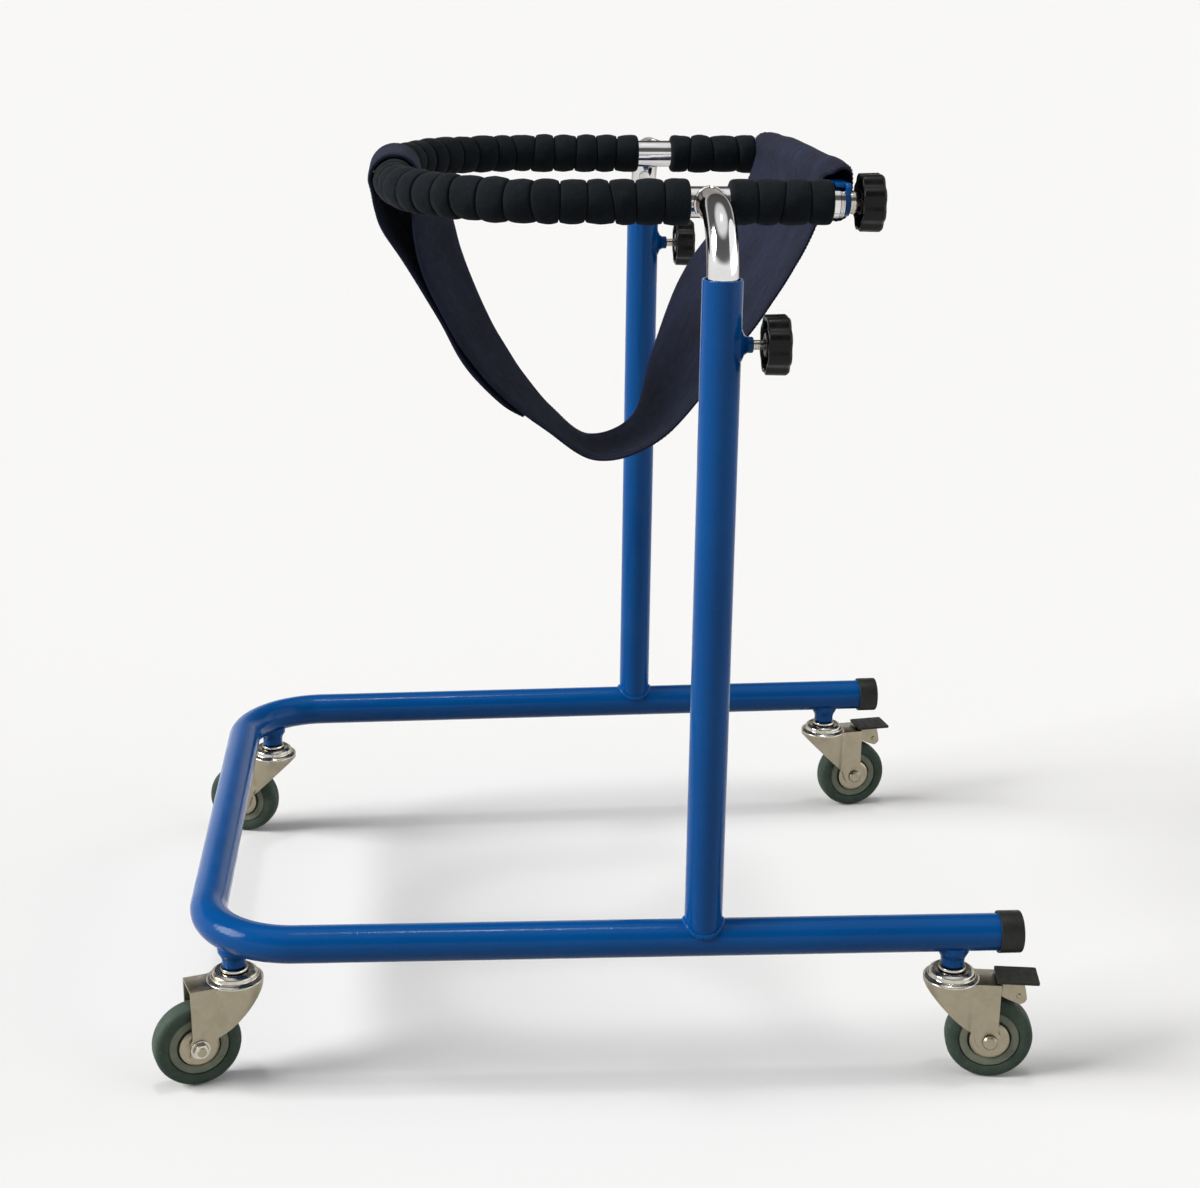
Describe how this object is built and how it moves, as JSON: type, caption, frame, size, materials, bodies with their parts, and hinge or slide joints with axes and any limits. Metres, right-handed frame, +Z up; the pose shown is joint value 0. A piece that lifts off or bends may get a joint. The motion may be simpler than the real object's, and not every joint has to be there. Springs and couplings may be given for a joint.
{
  "type": "underarm walker",
  "caption": "Child's walking frame on swivel casters, with a tubular U base, uprights, a height-adjustable foam-padded ring open at the rear behind a bar, and a cloth sling seat.",
  "frame": {"origin": "on the floor, under the middle of the walker", "axes": "-X towards the closed front of the base, which the user faces; +Y to the user's right; +Z up"},
  "size_m": [0.7576, 0.6348, 0.7658],
  "materials": {
    "blue_paint": "glossy powder coat over steel tube",
    "chrome": "bright chrome on steel tube",
    "zinc": "bright zinc plate on pressed steel",
    "black_plastic": "satin moulded plastic",
    "black_foam": "soft matte foam rubber",
    "navy_fabric": "woven cloth over a thin pad",
    "grey_rubber": "matte non-marking rubber",
    "grey_plastic": "satin moulded plastic"
  },
  "bodies": {
    "frame": {"base_tube": "blue_paint", "upright_left": "blue_paint", "upright_right": "blue_paint", "end_cap_left": "black_plastic", "end_cap_right": "black_plastic", "socket_front_left": "blue_paint", "socket_front_right": "blue_paint", "socket_rear_left": "blue_paint", "socket_rear_right": "blue_paint", "caster_pin_front_left": "zinc", "caster_pin_front_right": "zinc", "caster_pin_rear_left": "zinc", "caster_pin_rear_right": "zinc"},
    "ring": {"stem_left": "chrome", "stem_right": "chrome", "stem_plug_left": "black_plastic", "stem_plug_right": "black_plastic", "ring_tube": "chrome", "foam_front": "black_foam", "foam_rear_left": "black_foam", "foam_rear_right": "black_foam", "arm_insert_left": "chrome", "arm_insert_right": "chrome", "rear_bar": "blue_paint", "pivot_bolt": "zinc", "sling": "navy_fabric"},
    "clamp_screw_left": {"clamp_stud_left": "zinc"},
    "clamp_handle_left": {"clamp_knob_left": "black_plastic"},
    "clamp_screw_right": {"clamp_stud_right": "zinc"},
    "clamp_handle_right": {"clamp_knob_right": "black_plastic"},
    "bar_screw": {"bar_stud": "zinc"},
    "bar_handle": {"bar_knob": "black_plastic"},
    "swivel_front_left": {"fork_front_left": "zinc", "axle_front_left": "zinc"},
    "swivel_front_right": {"fork_front_right": "zinc", "axle_front_right": "zinc"},
    "swivel_rear_left": {"fork_rear_left": "zinc", "axle_rear_left": "zinc"},
    "swivel_rear_right": {"fork_rear_right": "zinc", "axle_rear_right": "zinc"},
    "wheel_front_left": {"rim_front_left": "grey_plastic", "tyre_front_left": "grey_rubber"},
    "wheel_front_right": {"rim_front_right": "grey_plastic", "tyre_front_right": "grey_rubber"},
    "wheel_rear_left": {"rim_rear_left": "grey_plastic", "tyre_rear_left": "grey_rubber"},
    "wheel_rear_right": {"rim_rear_right": "grey_plastic", "tyre_rear_right": "grey_rubber"},
    "brake_rear_left": {"brake_lever_rear_left": "zinc", "brake_pedal_rear_left": "black_plastic"},
    "brake_rear_right": {"brake_lever_rear_right": "zinc", "brake_pedal_rear_right": "black_plastic"}
  },
  "joints": [
    {"name": "ring_height", "type": "slide", "parent": "frame", "child": "ring", "axis": [0, 0, 1], "range_m": [0, 0.25]},
    {"name": "clamp_travel_left", "type": "slide", "parent": "frame", "child": "clamp_screw_left", "axis": [1, 0, 0], "range_m": [0, 0.0026]},
    {"name": "clamp_turn_left", "type": "hinge", "parent": "clamp_screw_left", "child": "clamp_handle_left", "pos_m": [0.122, -0.28553, 0.6395], "axis": [1, 0, 0], "range_deg": [0, 720]},
    {"name": "clamp_travel_right", "type": "slide", "parent": "frame", "child": "clamp_screw_right", "axis": [1, 0, 0], "range_m": [0, 0.0026]},
    {"name": "clamp_turn_right", "type": "hinge", "parent": "clamp_screw_right", "child": "clamp_handle_right", "pos_m": [0.122, 0.28553, 0.6395], "axis": [1, 0, 0], "range_deg": [0, 720]},
    {"name": "bar_screw_travel", "type": "slide", "parent": "ring", "child": "bar_screw", "axis": [1, 0, 0], "range_m": [0, 0.0026]},
    {"name": "bar_screw_turn", "type": "hinge", "parent": "bar_screw", "child": "bar_handle", "pos_m": [0.2093, -0.198, 0.7383], "axis": [1, 0, 0], "range_deg": [0, 720]},
    {"name": "caster_swivel_front_left", "type": "hinge", "parent": "frame", "child": "swivel_front_left", "pos_m": [-0.3081, -0.2538, 0], "axis": [0, 0, 1], "continuous": true},
    {"name": "caster_swivel_front_right", "type": "hinge", "parent": "frame", "child": "swivel_front_right", "pos_m": [-0.3081, 0.2538, 0], "axis": [0, 0, 1], "continuous": true},
    {"name": "caster_swivel_rear_left", "type": "hinge", "parent": "frame", "child": "swivel_rear_left", "pos_m": [0.304, -0.29051, 0], "axis": [0, 0, 1], "continuous": true},
    {"name": "caster_swivel_rear_right", "type": "hinge", "parent": "frame", "child": "swivel_rear_right", "pos_m": [0.304, 0.29051, 0], "axis": [0, 0, 1], "continuous": true},
    {"name": "wheel_spin_front_left", "type": "hinge", "parent": "swivel_front_left", "child": "wheel_front_left", "pos_m": [-0.34139, -0.26462, 0.0375], "axis": [0.309, -0.9511, 0], "continuous": true},
    {"name": "wheel_spin_front_right", "type": "hinge", "parent": "swivel_front_right", "child": "wheel_front_right", "pos_m": [-0.34139, 0.26462, 0.0375], "axis": [-0.309, -0.9511, 0], "continuous": true},
    {"name": "wheel_spin_rear_left", "type": "hinge", "parent": "swivel_rear_left", "child": "wheel_rear_left", "pos_m": [0.33857, -0.29599, 0.0375], "axis": [0.1564, 0.9877, 0], "continuous": true},
    {"name": "wheel_spin_rear_right", "type": "hinge", "parent": "swivel_rear_right", "child": "wheel_rear_right", "pos_m": [0.33857, 0.29599, 0.0375], "axis": [-0.1564, 0.9877, 0], "continuous": true},
    {"name": "brake_press_rear_left", "type": "hinge", "parent": "swivel_rear_left", "child": "brake_rear_left", "pos_m": [0.34074, -0.29633, 0.0837], "axis": [0.1564, 0.9877, 0], "range_deg": [0, 8]},
    {"name": "brake_press_rear_right", "type": "hinge", "parent": "swivel_rear_right", "child": "brake_rear_right", "pos_m": [0.34074, 0.29633, 0.0837], "axis": [-0.1564, 0.9877, 0], "range_deg": [0, 8]}
  ],
  "couplings": [
    {"joint": "clamp_travel_left", "follows": "clamp_turn_left", "m_per_rad": 0.00019894},
    {"joint": "clamp_travel_right", "follows": "clamp_turn_right", "m_per_rad": 0.00019894},
    {"joint": "bar_screw_travel", "follows": "bar_screw_turn", "m_per_rad": 0.00019894}
  ]
}
